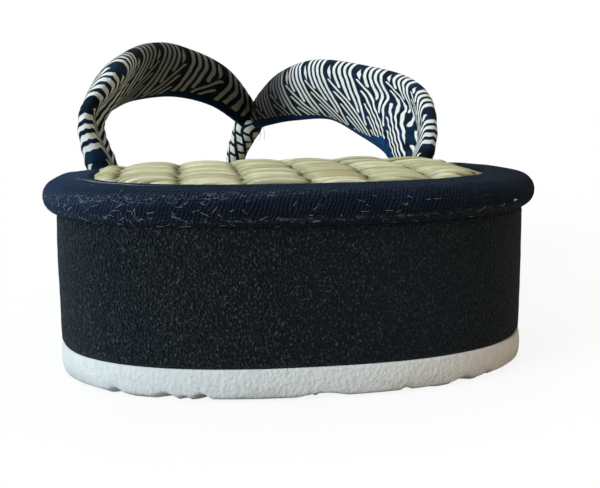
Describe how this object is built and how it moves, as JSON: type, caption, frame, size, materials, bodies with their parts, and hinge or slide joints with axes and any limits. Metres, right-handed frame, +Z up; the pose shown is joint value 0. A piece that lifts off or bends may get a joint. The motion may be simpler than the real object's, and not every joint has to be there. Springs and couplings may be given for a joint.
{
  "type": "zori sandal",
  "caption": "Flat-bottomed wedge thong sandal with padded cloth straps, a woven rush foot bed and a cloth-covered edge board.",
  "frame": {"origin": "on the ground under the middle of the sole's bounding box", "axes": "+Y forward from heel to toe, +X to the wearer's right, +Z up"},
  "size_m": [0.093, 0.245, 0.0609],
  "materials": {
    "pale_sponge": "matt cut sponge rubber, pale grey",
    "black_sponge": "matt sanded sponge, black",
    "edge_cloth": "fine ribbed navy cloth, worn",
    "rush": "woven rush, satin, pale green straw",
    "strap_cloth": "printed cotton, navy with cream lines, blue velour lining",
    "post_cloth": "printed cotton, navy with cream flecks"
  },
  "bodies": {
    "root": {"outsole": "pale_sponge", "midsole": "black_sponge", "rim": "edge_cloth", "mat": "rush", "straps": "strap_cloth", "toe_post": "post_cloth"}
  },
  "joints": []
}
